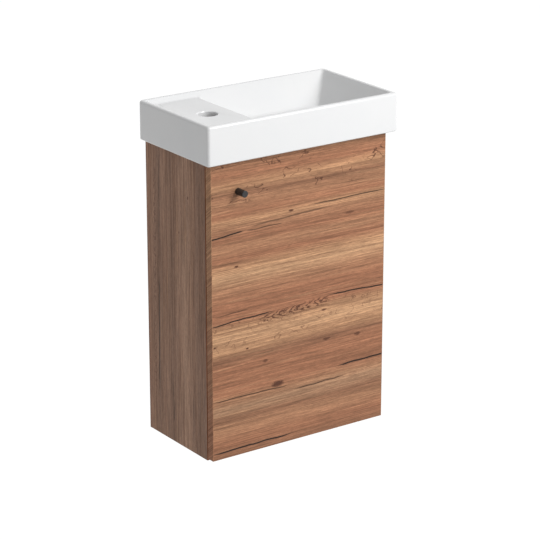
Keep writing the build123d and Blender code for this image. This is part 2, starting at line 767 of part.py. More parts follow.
def door_edge_bands():
    """The strips on the door's four edges."""
    y = (DOOR_FRONT, DOOR_BACK)
    inside = HALF - EDGE_BAND
    bands = [slab(sorted((s * inside, s * HALF)), y, (DOOR_BOTTOM, DOOR_TOP)) for s in (-1, 1)]
    for low in (DOOR_BOTTOM, DOOR_TOP - EDGE_BAND):
        bands.append(slab((-inside, inside), y, (low, low + EDGE_BAND)))
    return together(bands)


def knob():
    body = rod(KNOB_R, (KNOB_X, DOOR_FRONT, KNOB_Z), (0, -1, 0), KNOB_LENGTH)
    tip = body.edges().sort_by(Axis.Y)[0]
    body = chamfer(tip, KNOB_CHAMFER)
    return body - rod(KNOB_THREAD_R, (KNOB_X, DOOR_FRONT, KNOB_Z), (0, -1, 0), KNOB_THREAD_DEPTH)


def knob_screw():
    shank = KNOB_THREAD_R - JOINT_CLEARANCE
    length = DOOR_THICKNESS + KNOB_SCREW_IN_KNOB
    seat = (KNOB_X, DOOR_BACK, KNOB_Z)
    return screw(KNOB_SCREW_HEAD_R, KNOB_SCREW_HEAD, shank, length, seat, (0, -1, 0))


def door_bumpers():
    """Two soft dots near the free edge, on the door's inner face."""
    x = -HALF + BOARD / 2
    heights = (DOOR_BOTTOM + BUMPER_INSET, DOOR_TOP - BUMPER_INSET)
    dots = [rod(BUMPER_R, (x, DOOR_BACK, z), (0, 1, 0), BUMPER_THICKNESS) for z in heights]
    return together(dots)


# Concealed hinges. Plan points are in the cabinet's frame with the door closed.

CUP_X = HALF - CUP_FROM_EDGE - CUP_R
ARM_LEFT = INNER - ARM_TO_PANEL - ARM_WIDTH
ARM_RIGHT = INNER - ARM_TO_PANEL


def door_point(offsets):
    """A plan point given from the door's edge and its inner face."""
    return (HALF - offsets[0], DOOR_BACK - offsets[1])


def panel_point(offsets):
    """A plan point given from the side panel's inner face and front edge."""
    return (INNER - offsets[0], CARCASS_FRONT + offsets[1])


OUTER_CUP = door_point(OUTER_CUP_PIVOT)
INNER_CUP = door_point(INNER_CUP_PIVOT)
OUTER_ARM = panel_point(OUTER_ARM_PIVOT)
INNER_ARM = panel_point(INNER_ARM_PIVOT)


def outer_link():
    """Two cranked plates round the inner link, joined by a barrel on the arm's rear pin."""
    points = [
        OUTER_CUP,
        polar(OUTER_CUP, *OUTER_LINK_FIRST),
        shifted(OUTER_CUP, *OUTER_LINK_SECOND),
        shifted(OUTER_ARM, *OUTER_LINK_THIRD),
        shifted(OUTER_ARM, *OUTER_LINK_FOURTH),
        OUTER_ARM,
    ]
    outline = bar_outline(points, LINK_HALF_WIDTH)
    outline += Pos(*OUTER_CUP) * Circle(OUTER_LINK_EYE)
    outline += Pos(*OUTER_ARM) * Circle(OUTER_LINK_BARREL)
    link = pin(OUTER_ARM, OUTER_LINK_BARREL, -OUTER_LINK_OUTSIDE, OUTER_LINK_OUTSIDE)
    link += between(outline, OUTER_LINK_INSIDE, OUTER_LINK_OUTSIDE)
    link += between(outline, -OUTER_LINK_OUTSIDE, -OUTER_LINK_INSIDE)
    for place in (OUTER_CUP, OUTER_ARM):
        reach = OUTER_LINK_OUTSIDE + 1
        link -= pin(place, PIVOT_R + PIVOT_RUNNING, -reach, reach)
    return link


def slot_places():
    """The slot's two end centres, on the line from the cup's pivot to the arm's."""
    dx = INNER_ARM[0] - INNER_CUP[0]
    dy = INNER_ARM[1] - INNER_CUP[1]
    angle = math.degrees(math.atan2(dy, dx))
    middle = polar(INNER_ARM, angle, SLOT_OFFSET)
    return [polar(middle, angle, k * SLOT_HALF_LENGTH) for k in (-1, 1)]


def inner_link():
    """A cranked bar between the outer link's plates, slotted on the arm's front pin."""
    first = polar(INNER_CUP, *INNER_LINK_FIRST)
    slot = slot_places()
    points = [
        INNER_CUP,
        first,
        polar(first, *INNER_LINK_SECOND),
        shifted(INNER_ARM, *INNER_LINK_THIRD),
        shifted(INNER_ARM, *INNER_LINK_FOURTH),
        slot[0],
    ]
    outline = bar_outline(points, INNER_LINK_HALF_WIDTH)
    outline += Pos(*INNER_CUP) * Circle(INNER_LINK_EYE)
    outline += bar_outline(slot, SLOT_HALF_WIDTH + SLOT_WALL)
    outline -= bar_outline(slot, SLOT_HALF_WIDTH)
    outline -= Pos(*INNER_CUP) * Circle(PIVOT_R + PIVOT_RUNNING)
    return between(outline, -INNER_LINK_HALF_HEIGHT, INNER_LINK_HALF_HEIGHT)


def hinge_cup():
    """The cup in the door, with its flange and the holes for its two pivots."""
    flange = rod(CUP_FLANGE_R, (CUP_X, DOOR_BACK, 0), (0, 1, 0), CUP_FLANGE)
    ear_x = CUP_X - CUP_SCREW_OFFSET
    ear_z = CUP_SCREW_SPACING / 2 + CUP_EAR_WIDTH / 2
    ears = slab(
        (ear_x - CUP_EAR_WIDTH / 2, ear_x + CUP_EAR_WIDTH / 2),
        (DOOR_BACK, DOOR_BACK + CUP_FLANGE),
        (-ear_z, ear_z),
    )
    ears = fillet(ears.edges().filter_by(Axis.Y), CUP_EAR_WIDTH / 3)
    outside = CUP_R - CUP_CLEARANCE
    body = flange + ears + rod(outside, (CUP_X, DOOR_BACK, 0), (0, -1, 0), CUP_DEPTH)
    hollow_top = (CUP_X, DOOR_BACK + 2 * CUP_FLANGE, 0)
    depth = 2 * CUP_FLANGE + CUP_DEPTH - CUP_WALL
    body -= rod(outside - CUP_WALL, hollow_top, (0, -1, 0), depth)
    for block in cup_bosses():
        body += block
    for shank in cup_screw_shanks(0, JOINT_CLEARANCE):
        body -= shank
    for piece in cup_pivots(0):
        body -= piece
    return body


def cup_bosses():
    """The two blocks in the cup's end that hold its pivots."""
    outside = rod(CUP_R - CUP_CLEARANCE, (CUP_X, DOOR_BACK, 0), (0, -1, 0), CUP_DEPTH)
    x = (INNER_CUP[0] - CUP_BOSS_SIDE, CUP_X + CUP_R)
    y = (DOOR_BACK - CUP_DEPTH, DOOR_BACK - CUP_BOSS_BELOW)
    blocks = []
    for side in (-1, 1):
        z = sorted((side * CUP_BOSS_INSIDE, side * CUP_R))
        blocks.append(slab(x, y, z) & outside)
    return blocks


def cup_pivots(height):
    low = height - CUP_PIN_HALF
    high = height + CUP_PIN_HALF
    return [pin(place, PIVOT_R, low, high) for place in (OUTER_CUP, INNER_CUP)]


def cup_screw_seats(height):
    x = CUP_X - CUP_SCREW_OFFSET
    half = CUP_SCREW_SPACING / 2
    return [(x, DOOR_BACK + CUP_FLANGE, height + k * half) for k in (-1, 1)]


def cup_screw_shanks(height, spare):
    seats = cup_screw_seats(height)
    return [rod(SCREW_R + spare, seat, (0, -1, 0), SCREW_LENGTH + spare) for seat in seats]


def arm_outline():
    front = CARCASS_FRONT + ARM_CHANNEL_FRONT
    back = CARCASS_FRONT + ARM_BACK
    outline = Pos((ARM_LEFT + ARM_RIGHT) / 2, (front + back) / 2) * Rectangle(
        ARM_WIDTH, back - front
    )
    outline += bar_outline([OUTER_ARM, INNER_ARM], ARM_NOSE_R)
    shoulder = [
        (ARM_LEFT, front),
        (ARM_LEFT, front + ARM_NOSE_R),
        (OUTER_ARM[0] + ARM_NOSE_R, front + ARM_NOSE_R),
        (INNER_ARM[0] + ARM_NOSE_R, INNER_ARM[1]),
        (INNER_ARM[0] - ARM_NOSE_R, INNER_ARM[1]),
    ]
    return outline + make_face(Polyline(*shoulder, close=True))


def hinge_arm():
    """The arm: a channel over the mounting plate, whose cheeks carry the two arm pivots."""
    outside = ARM_INSIDE + ARM_PLATE
    outline = arm_outline()
    body = between(outline, ARM_INSIDE, outside) + between(outline, -outside, -ARM_INSIDE)
    front = CARCASS_FRONT + ARM_CHANNEL_FRONT
    back = CARCASS_FRONT + ARM_BACK
    body += slab((ARM_LEFT, ARM_LEFT + ARM_PLATE), (front, back), (-outside, outside))
    for piece in arm_pivots(0):
        body -= piece
    for setback in ARM_SCREW_SETBACKS:
        start = (ARM_LEFT - ARM_PLATE, CARCASS_FRONT + setback, 0)
        body -= rod(ARM_SCREW_R + ARM_SCREW_WAY, start, (1, 0, 0), 3 * ARM_PLATE)
    return body


def arm_pivots(height):
    reach = ARM_INSIDE + ARM_PLATE + PIVOT_R / 2
    return [pin(place, PIVOT_R, height - reach, height + reach) for place in (OUTER_ARM, INNER_ARM)]


def mounting_plate():
    """The plate on the side panel, with the block that the arm is screwed to."""
    middle = CARCASS_FRONT + MOUNT_SCREW_SETBACK
    leaf = slab(
        (INNER - MOUNT_PLATE, INNER),
        (middle - MOUNT_PLATE_WIDTH / 2, middle + MOUNT_PLATE_WIDTH / 2),
        (-MOUNT_PLATE_HALF_HEIGHT, MOUNT_PLATE_HALF_HEIGHT),
    )
    leaf = fillet(leaf.edges().filter_by(Axis.X), MOUNT_PLATE_WIDTH / 4)
    block = slab(
        (ARM_LEFT + ARM_PLATE, INNER),
        (CARCASS_FRONT + MOUNT_BLOCK_FRONT, CARCASS_FRONT + ARM_BACK),
        (-MOUNT_BLOCK_HALF_HEIGHT, MOUNT_BLOCK_HALF_HEIGHT),
    )
    body = leaf + block
    for shank in plate_screw_shanks(0, JOINT_CLEARANCE):
        body -= shank
    for setback in ARM_SCREW_SETBACKS:
        start = (ARM_LEFT, CARCASS_FRONT + setback, 0)
        body -= rod(ARM_SCREW_R, start, (1, 0, 0), ARM_SCREW_LENGTH)
    return body


def plate_screw_seats(height):
    y = CARCASS_FRONT + MOUNT_SCREW_SETBACK
    half = MOUNT_SCREW_SPACING / 2
    return [(INNER - MOUNT_PLATE, y, height + k * half) for k in (-1, 1)]


def plate_screw_shanks(height, spare):
    seats = plate_screw_seats(height)
    return [rod(SCREW_R + spare, seat, (1, 0, 0), SCREW_LENGTH + spare) for seat in seats]


def wood_screw(seat, direction):
    return screw(SCREW_HEAD_R, SCREW_HEAD, SCREW_R, SCREW_LENGTH, seat, direction)


def arm_screw(height, setback):
    seat = (ARM_LEFT, CARCASS_FRONT + setback, height)
    length = ARM_SCREW_LENGTH - 2 * ARM_SCREW_WAY
    shank = ARM_SCREW_R - JOINT_CLEARANCE
    return screw(ARM_SCREW_HEAD_R, ARM_SCREW_HEAD, shank, length, seat, (1, 0, 0))


def hinge_nodes():
    """The nodes of both hinges, with the identical pins and screws grouped."""
    nodes = {}
    for name, height in HINGE_HEIGHTS.items():
        place = Pos(0, 0, height)
        nodes[name + "_hinge_cup"] = place * hinge_cup()
        nodes[name + "_hinge_arm"] = place * hinge_arm()
        nodes[name + "_hinge_outer_link"] = place * outer_link()
        nodes[name + "_hinge_inner_link"] = place * inner_link()
        nodes[name + "_hinge_mounting_plate"] = place * mounting_plate()
    heights = HINGE_HEIGHTS.values()
    nodes["hinge_arm_pins"] = together([p for h in heights for p in arm_pivots(h)])
    nodes["hinge_cup_pins"] = together([p for h in heights for p in cup_pivots(h)])
    cup_seats = [seat for h in heights for seat in cup_screw_seats(h)]
    plate_seats = [seat for h in heights for seat in plate_screw_seats(h)]
    nodes["hinge_cup_screws"] = together([wood_screw(s, (0, -1, 0)) for s in cup_seats])
    nodes["mounting_plate_screws"] = together([wood_screw(s, (1, 0, 0)) for s in plate_seats])
    arm_screws = [arm_screw(h, s) for h in heights for s in ARM_SCREW_SETBACKS]
    nodes["hinge_arm_screws"] = together(arm_screws)
    return nodes


def all_nodes():
    nodes = {
        "basin": basin(),
        "basin_pads": basin_pads(),
        "left_side_panel": side_panel(-1),
        "right_side_panel": side_panel(1),
        "bottom_panel": bottom_panel(),
        "front_top_rail": front_top_rail(),
        "rear_top_rail": rear_top_rail(),
        "rear_lower_rail": rear_lower_rail(),
        "side_edge_bands": side_edge_bands(),
        "cross_edge_bands": cross_edge_bands(),
        "shelf": shelf(),
        "shelf_edge_band": shelf_edge_band(),
        "shelf_pins": shelf_pins(),
        "board_dowels": all_dowels(),
        "cam_locks": all_cams(),
        "cam_bolts": all_cam_bolts(),
        "hanger_screws": hanger_screws(),
        "door_panel": door_panel(),
        "door_edge_bands": door_edge_bands(),
        "knob": knob(),
        "knob_screw": knob_screw(),
        "door_bumpers": door_bumpers(),
    }
    for name, side in (("left", -1), ("right", 1)):
        nodes[name + "_hanger_housing"] = hanger_housing(side)
        nodes[name + "_hanger_hook"] = hanger_hook(side)
        nodes[name + "_wall_plate"] = wall_plate(side)
    nodes.update(hinge_nodes())
    return nodes


def main():
    os.makedirs("parts", exist_ok=True)
    for name, shape in all_nodes().items():
        export_step(shape, os.path.join("parts", name + ".step"))
    x, y = waste_place()
    print("waste hole at", round(x, 2), round(y, 2))
    print("tap hole at", TAP_X, -TAP_FROM_WALL, "ledge at", LEDGE_TOP)
    print("wall screws at", PLATE_X, WALL_SCREW_TOP, "and", WALL_SCREW_TOP - WALL_SCREW_SPACING)
    print("hinge pivots", OUTER_ARM, INNER_ARM, OUTER_CUP, INNER_CUP)


main()
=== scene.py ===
import math

import bpy
from mathutils import Matrix, Vector


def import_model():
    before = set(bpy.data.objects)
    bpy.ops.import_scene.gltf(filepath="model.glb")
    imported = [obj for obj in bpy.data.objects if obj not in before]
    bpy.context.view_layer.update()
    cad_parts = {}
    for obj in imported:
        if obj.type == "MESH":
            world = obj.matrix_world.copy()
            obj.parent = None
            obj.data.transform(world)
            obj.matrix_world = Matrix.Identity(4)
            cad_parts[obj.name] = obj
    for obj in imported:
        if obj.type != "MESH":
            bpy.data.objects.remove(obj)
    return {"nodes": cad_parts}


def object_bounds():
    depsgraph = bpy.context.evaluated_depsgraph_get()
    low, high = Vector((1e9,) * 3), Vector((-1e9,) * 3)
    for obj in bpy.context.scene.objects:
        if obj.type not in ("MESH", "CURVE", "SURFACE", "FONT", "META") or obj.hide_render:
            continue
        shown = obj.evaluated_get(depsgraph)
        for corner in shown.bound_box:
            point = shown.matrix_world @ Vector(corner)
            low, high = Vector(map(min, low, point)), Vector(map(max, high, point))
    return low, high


# Camera: place in metres, turns in degrees, lens and sensor in millimetres
CAMERA_PLACE = (-2.2563, -3.3311, 1.6480)
CAMERA_TURN = 35.045
CAMERA_DROP = 18.979
CAMERA_LENS = 155.51
CAMERA_SENSOR = 36
CAMERA_REACH = 200

# Lights and surroundings: lengths in metres, levels as shares of full light
FLOOR_BELOW = 0.70
FLOOR_HALF = 30
KEY_FROM = (0.60, -1.10, 0.88)
KEY_DISTANCE = 4.0
KEY_SIZE = 2.4
KEY_LEVEL = 0.75
FILL_LEVEL = 0.45
BACKGROUND_LEVEL = 1.0
FLOOR_WHITE = 1.12
FLOOR_WHITE_SHARE = 0.85
FLOOR_ROUGHNESS = 0.9

# How far the oak pattern wanders, and how deep its relief is, in metres
BOARD_WANDER = 0.010
BAND_DRIFT = 0.014
CRACK_WANDER = 0.006
RELIEF_DEPTH = 0.00012

# Cracks are drawn a little wider than their hair line and never thinner than the least width, in metres
CRACK_WIDENING = 1.35
CRACK_LEAST = 0.00005

# Pointed rings: how pointed they are, and how far they wander as a share of their pitch
RING_SLANT = 2.2
RING_WANDER = 3.2

# Curved marks fade out over this way at the edges of their zone, in metres
MARK_FADE = 0.012

# Darker clouds on plated metal have this share of its colour
PLATE_CLOUD = 0.82

# Smooth shading stops at edges sharper than this, and points closer than the weld distance are joined for it
SHARP_DEGREES = 32
WELD_DISTANCE = 0.000002

# Colour sockets of the mix node, which has others for numbers and vectors
MIX_FIRST = 6
MIX_SECOND = 7
MIX_RESULT = 2


def srgb(red, green, blue):
    """Linear colour of a screen colour given in 0..255."""
    linear = []
    for value in (red, green, blue):
        part = value / 255
        linear.append(part / 12.92 if part <= 0.04045 else ((part + 0.055) / 1.055) ** 2.4)
    return (*linear, 1)


# Colours of the oak pattern: door and inner boards, then side panels, then edges and marks
OAK_PALE = srgb(196, 153, 116)
OAK_TAN = srgb(183, 138, 103)
OAK_GREY = srgb(171, 133, 103)
OAK_MIDDLE = srgb(170, 124, 93)
OAK_RED = srgb(159, 109, 81)
OAK_BROWN = srgb(141, 100, 75)
OAK_DARK = srgb(98, 66, 48)
SIDE_PALE = srgb(182, 146, 123)
SIDE_MIDDLE = srgb(168, 132, 110)
SIDE_RED = srgb(160, 122, 101)
SIDE_BROWN = srgb(148, 116, 97)
EDGE_ORANGE = srgb(150, 88, 54)
KNOT = srgb(82, 50, 36)
CRACK = srgb(30, 20, 14)

# Colours of the other surfaces
GLAZE_SHADE = srgb(213, 214, 215)
GLAZE_WHITE = srgb(217, 217, 217)
RUBBER_SHADE = srgb(214, 216, 215)
RUBBER_PALE = srgb(232, 233, 232)
FLOOR_PALE = srgb(236, 236, 236)


class Shader:
    """One material and short ways to add nodes to it."""

    def __init__(self, name):
        self.material = bpy.data.materials.new(name)
        self.material.use_nodes = True
        self.tree = self.material.node_tree
        self.surface = self.tree.nodes["Principled BSDF"]

    def feed(self, socket, value):
        """Links a socket to another one, or sets it."""
        if isinstance(value, bpy.types.NodeSocket):
            self.tree.links.new(value, socket)
        else:
            socket.default_value = value

    def add(self, kind, **settings):
        """A new node with these settings."""
        node = self.tree.nodes.new(kind)
        for key, value in settings.items():
            setattr(node, key, value)
        return node

    def math(self, operation, first, second=0.0, third=0.0, clamp=False):
        node = self.add("ShaderNodeMath", operation=operation, use_clamp=clamp)
        for socket, value in zip(node.inputs, (first, second, third)):
            self.feed(socket, value)
        return node.outputs[0]

    def product(self, *values):
        """All the values multiplied."""
        total = values[0]
        for value in values[1:]:
            total = self.math("MULTIPLY", total, value)
        return total

    def centred(self, value):
        """The value less a half, so that a share or a noise goes both ways from zero."""
        return self.math("SUBTRACT", value, 0.5)

    def place(self):
        """The point on the object at rest, as x, y and z sockets."""
        coordinates = self.add("ShaderNodeTexCoord")
        parts = self.add("ShaderNodeSeparateXYZ")
        self.feed(parts.inputs[0], coordinates.outputs["Object"])
        return tuple(parts.outputs)

    def vector(self, x, y, z):
        node = self.add("ShaderNodeCombineXYZ")
        for socket, value in zip(node.inputs, (x, y, z)):
            self.feed(socket, value)
        return node.outputs[0]

    def noise(self, vector, scale=1.0, detail=3.0, roughness=0.5):
        node = self.add("ShaderNodeTexNoise")
        self.feed(node.inputs["Vector"], vector)
        self.feed(node.inputs["Scale"], scale)
        self.feed(node.inputs["Detail"], detail)
        self.feed(node.inputs["Roughness"], roughness)
        return node.outputs["Fac"]

    def spread(self, value, low, high, to_low=0.0, to_high=1.0):
        """Maps low..high smoothly to to_low..to_high."""
        node = self.add("ShaderNodeMapRange", interpolation_type="SMOOTHSTEP")
        for socket, given in zip(node.inputs, (value, low, high, to_low, to_high)):
            self.feed(socket, given)
        return node.outputs[0]

    def ramp(self, value, stops):
        """A colour ramp from (position, colour) pairs."""
        node = self.add("ShaderNodeValToRGB")
        elements = node.color_ramp.elements
        while len(elements) < len(stops):
            elements.new(1.0)
        for element, (position, colour) in zip(elements, stops):
            element.position = position
            element.color = colour
        self.feed(node.inputs[0], value)
        return node.outputs[0]

    def mix(self, factor, first, second, blend="MIX"):
        """Two colours blended by a factor."""
        node = self.add("ShaderNodeMix", data_type="RGBA", blend_type=blend)
        self.feed(node.inputs[0], factor)
        self.feed(node.inputs[MIX_FIRST], first)
        self.feed(node.inputs[MIX_SECOND], second)
        return node.outputs[MIX_RESULT]

    def bump(self, height, depth, strength):
        """Fine relief in the shading alone, with its depth in metres."""
        node = self.add("ShaderNodeBump")
        self.feed(node.inputs["Strength"], strength)
        self.feed(node.inputs["Distance"], depth)
        self.feed(node.inputs["Height"], height)
        self.feed(self.surface.inputs["Normal"], node.outputs[0])

    def set(self, **values):
        """Sets or links inputs of the surface shader by their names, with _ for a space."""
        for key, value in values.items():
            self.feed(self.surface.inputs[key.replace("_", " ")], value)


class Board(Shader):
    """Oak pattern whose grain runs along one direction of the board."""

    def __init__(self, name, along, across, seed, bands, slant=0.0):
        super().__init__(name)
        x, y, z = self.place()
        axes = {"x": x, "y": y, "z": z}
        self.along = axes[along]
        self.seed = seed
        self.across = self.bent(axes[across[0]])
        if len(across) > 1:
            self.across = self.math("ADD", self.across, axes[across[1]])
        if slant:
            self.across = self.math("MULTIPLY_ADD", self.along, slant, self.across)
        self.bands = bands
        self.knots = []
        self.cracks = []

    def bent(self, value):
        """A coordinate that wanders a little along the board."""
        wander = self.noise(self.grain(value, 0.9, 7), detail=2.0)
        return self.math("ADD", value, self.math("MULTIPLY", self.centred(wander), BOARD_WANDER))

    def grain(self, across, along_scale, across_scale):
        """A noise place that is stretched along the grain."""
        along = self.math("MULTIPLY", self.along, along_scale)
        return self.vector(along, self.math("MULTIPLY", across, across_scale), self.seed)

    def layer(self, along_scale, across_scale, detail, roughness=0.5):
        """Noise that is stretched along the grain."""
        place = self.grain(self.across, along_scale, across_scale)
        return self.noise(place, detail=detail, roughness=roughness)

    def line(self, start, end):
        """The share of the way between two (along, across) points, and how far across their line is."""
        share = self.math("DIVIDE", self.math("SUBTRACT", self.along, start[0]), end[0] - start[0])
        return share, self.math("MULTIPLY_ADD", share, end[1] - start[1], start[1])

    def crack(self, start, end, width, depth=1.0):
        """A thin dark line between two (along, across) points."""
        share, line = self.line(start, end)
        wobble = self.noise(self.grain(start[1], 22, 1), detail=3.0)
        line = self.math("ADD", line, self.math("MULTIPLY", self.centred(wobble), CRACK_WANDER))
        away = self.math("ABSOLUTE", self.math("SUBTRACT", self.across, line))
        middle = self.math("ABSOLUTE", self.centred(share))
        taper = self.spread(middle, 0.30, 0.52, 1.0, 0.0)
        reach = self.math("MULTIPLY_ADD", taper, CRACK_WIDENING * width, CRACK_LEAST)
        dark = self.spread(self.math("DIVIDE", away, reach), 0.25, 1.0, 1.0, 0.0)
        self.cracks.append(self.product(dark, taper, depth))

    def knot(self, centre, length, height, depth):
        """An oval dark spot."""
        along = self.math("DIVIDE", self.math("SUBTRACT", self.along, centre[0]), length)
        across = self.math("DIVIDE", self.math("SUBTRACT", self.across, centre[1]), height)
        square = self.math("ADD", self.math("MULTIPLY", along, along), self.math("MULTIPLY", across, across))
        rough = self.layer(300, 500, 2.0)
        square = self.math("ADD", square, self.centred(rough))
        self.knots.append(self.spread(square, 0.15, 1.0, depth, 0.0))

    def chevrons(self, start, end, half_height, pitch, depth):
        """Pointed growth rings in a row between two (along, across) points."""
        share, line = self.line(start, end)
        away = self.math("ABSOLUTE", self.math("SUBTRACT", self.across, line))
        wander = self.layer(55, 150, 4.0, 0.65)
        place = self.math("MULTIPLY_ADD", away, -RING_SLANT, self.along)
        place = self.math("MULTIPLY_ADD", wander, RING_WANDER * pitch, place)
        wave = self.math("SINE", self.math("MULTIPLY", place, 2 * math.pi / pitch))
        rings = self.spread(wave, 0.0, 0.8)
        inside = self.spread(away, half_height * 0.35, half_height, 1.0, 0.0)
        middle = self.math("ABSOLUTE", self.centred(share))
        inside = self.math("MULTIPLY", inside, self.spread(middle, 0.32, 0.5, 1.0, 0.0))
        self.knots.append(self.product(rings, inside, depth))

    def squiggles(self, low, high, depth):
        """Sparse short curved marks where the across place is between low and high."""
        wander = self.layer(38, 52, 2.0)
        edge = self.math("ABSOLUTE", self.centred(wander))
        lines = self.spread(edge, 0.006, 0.022, 1.0, 0.0)
        sparse = self.layer(21, 60, 2.0)
        lines = self.math("MULTIPLY", lines, self.spread(sparse, 0.49, 0.58))
        zone = self.math("MULTIPLY", self.spread(self.across, low, low + MARK_FADE),
                         self.spread(self.across, high - MARK_FADE, high, 1.0, 0.0))
        self.knots.append(self.product(lines, zone, depth))

    def darkest(self, masks):
        """The strongest of several masks."""
        total = masks[0]
        for mask in masks[1:]:
            total = self.math("MAXIMUM", total, mask)
        return total

    def band_colour(self):
        """The colour of the board's wide bands."""
        low = self.bands[0][0]
        high = self.bands[-1][0]
        stops = [((height - low) / (high - low), colour) for height, colour in self.bands]
        drift = self.math("MULTIPLY", self.centred(self.layer(3.0, 40, 4.0, 0.6)), BAND_DRIFT)
        height = self.math("ADD", self.across, drift)
        height = self.math("DIVIDE", self.math("SUBTRACT", height, low), high - low, clamp=True)
        return self.ramp(height, stops)

    def shaded(self, colour, value, low, high, dark, light):
        """The colour times a grey that goes from dark to light while the value goes from low to high."""
        shade = self.spread(value, low, high, dark, light)
        return self.mix(1.0, colour, self.vector(shade, shade, shade), "MULTIPLY")

    def finish(self):
        """Puts bands, streaks, fibres, pores, knots and cracks together and returns the material."""
        colour = self.band_colour()
        streaks = self.layer(3.5, 170, 5.0, 0.65)
        colour = self.mix(self.spread(streaks, 0.42, 0.68, 0.0, 0.42), colour, OAK_DARK)
        pale = self.layer(4.5, 210, 4.0, 0.6)
        colour = self.mix(self.spread(pale, 0.55, 0.75, 0.0, 0.35), colour, OAK_PALE)
        lines = self.layer(9, 480, 4.0, 0.62)
        colour = self.shaded(colour, lines, 0.32, 0.68, 0.77, 1.15)
        fibres = self.layer(22, 1100, 3.0, 0.6)
        colour = self.shaded(colour, fibres, 0.28, 0.72, 0.74, 1.18)
        flecks = self.layer(110, 620, 3.0, 0.7)
        colour = self.shaded(colour, flecks, 0.30, 0.70, 0.84, 1.12)
        pores = self.spread(self.layer(75, 2300, 1.0), 0.60, 0.72, 0.0, 0.55)
        colour = self.mix(pores, colour, OAK_DARK)
        if self.knots:
            colour = self.mix(self.darkest(self.knots), colour, KNOT)
        dark = 0.0
        if self.cracks:
            dark = self.darkest(self.cracks)
            colour = self.mix(dark, colour, CRACK)
        self.set(Base_Color=colour)
        self.set(Roughness=self.spread(streaks, 0.3, 0.7, 0.50, 0.62))
        self.set(Specular_IOR_Level=0.2)
        relief = self.math("MULTIPLY_ADD", pores, -0.6, fibres)
        relief = self.math("MULTIPLY_ADD", dark, -2.5, relief)
        self.bump(relief, RELIEF_DEPTH, 0.6)
        return self.material


def door_oak():
    """Oak pattern of the door: grain from left to right."""
    bands = [
        (0.000, OAK_BROWN), (0.030, OAK_RED), (0.055, OAK_MIDDLE), (0.075, OAK_BROWN),
        (0.095, OAK_GREY), (0.112, OAK_MIDDLE), (0.125, OAK_RED), (0.170, OAK_RED),
        (0.187, OAK_BROWN), (0.200, OAK_TAN), (0.225, OAK_PALE), (0.246, OAK_TAN),
        (0.258, OAK_RED), (0.290, OAK_RED), (0.315, OAK_MIDDLE), (0.335, OAK_PALE),
        (0.352, OAK_TAN), (0.368, OAK_RED), (0.388, OAK_MIDDLE), (0.405, OAK_RED),
        (0.425, OAK_MIDDLE), (0.437, OAK_TAN), (0.450, OAK_RED), (0.470, OAK_MIDDLE),
        (0.485, OAK_BROWN), (0.500, OAK_TAN), (0.515, OAK_RED), (0.545, OAK_MIDDLE),
    ]
    board = Board("oak_door", "x", "z", 3.7, bands)
    board.crack((0.010, 0.438), (0.200, 0.439), 0.0013, 0.8)
    board.crack((-0.205, 0.410), (-0.110, 0.415), 0.0016)
    board.crack((-0.120, 0.414), (-0.030, 0.416), 0.0012, 0.7)
    board.crack((-0.120, 0.421), (0.075, 0.429), 0.0016, 0.6)
    board.crack((0.055, 0.265), (0.205, 0.258), 0.0014)
    board.crack((-0.205, 0.253), (-0.045, 0.258), 0.0014)
    board.crack((-0.185, 0.270), (-0.105, 0.271), 0.0010, 0.6)
    board.crack((-0.205, 0.365), (-0.120, 0.359), 0.0010, 0.4)
    board.crack((0.075, 0.124), (0.205, 0.126), 0.0017)
    board.crack((-0.020, 0.101), (0.110, 0.104), 0.0013, 0.8)
    board.crack((-0.205, 0.115), (-0.005, 0.112), 0.0013, 0.8)
    board.crack((-0.205, 0.017), (0.000, 0.018), 0.0016)
    board.knot((-0.019, 0.435), 0.0068, 0.0029, 0.95)
    board.knot((-0.134, 0.353), 0.0054, 0.0026, 0.95)
    board.knot((0.053, 0.238), 0.0068, 0.0026, 0.85)
    board.knot((0.128, 0.176), 0.0095, 0.0039, 0.85)
    board.knot((0.107, 0.409), 0.0135, 0.0039, 0.65)
    board.knot((-0.047, 0.120), 0.0162, 0.0065, 1.00)
    board.knot((0.059, 0.181), 0.0108, 0.0033, 0.85)
    board.knot((-0.074, 0.169), 0.0068, 0.0039, 0.75)
    board.knot((-0.112, 0.200), 0.0041, 0.0020, 1.00)
    board.knot((-0.180, 0.215), 0.0041, 0.0020, 1.00)
    board.knot((0.119, 0.101), 0.0110, 0.0075, 0.22)
    board.chevrons((-0.100, 0.246), (0.080, 0.257), 0.0115, 0.019, 0.95)
    board.squiggles(0.462, 0.560, 0.85)
    board.squiggles(0.195, 0.262, 0.5)
    return board.finish()


def side_oak():
    """Oak pattern of the side panels: upright grain."""
    bands = [
        (-0.205, SIDE_BROWN), (-0.165, SIDE_BROWN), (-0.145, SIDE_MIDDLE), (-0.120, SIDE_PALE),
        (-0.100, SIDE_MIDDLE), (-0.080, SIDE_BROWN), (-0.055, SIDE_MIDDLE), (-0.036, SIDE_BROWN),
        (-0.020, SIDE_MIDDLE), (0.000, SIDE_RED),
    ]
    board = Board("oak_side", "z", "y", 8.3, bands)
    board.crack((0.060, -0.033), (0.330, -0.038), 0.0013)
    board.crack((0.300, -0.036), (0.560, -0.043), 0.0010, 0.5)
    board.crack((-0.020, -0.145), (0.120, -0.145), 0.0008, 0.7)
    board.crack((0.030, -0.082), (0.115, -0.081), 0.0012, 0.7)
    board.knot((0.468, -0.133), 0.004, 0.0016, 0.8)
    board.knot((0.399, -0.104), 0.003, 0.0014, 0.7)
    board.chevrons((0.010, -0.020), (0.540, -0.026), 0.006, 0.016, 0.45)
    return board.finish()


def plain_oak(name, along, across, seed, slant=0.0):
    """Oak pattern of the other boards."""
    bands = [(-0.4, OAK_MIDDLE), (-0.1, OAK_RED), (0.1, OAK_MIDDLE), (0.3, OAK_TAN), (0.6, OAK_RED)]
    return Board(name, along, across, seed, bands, slant).finish()


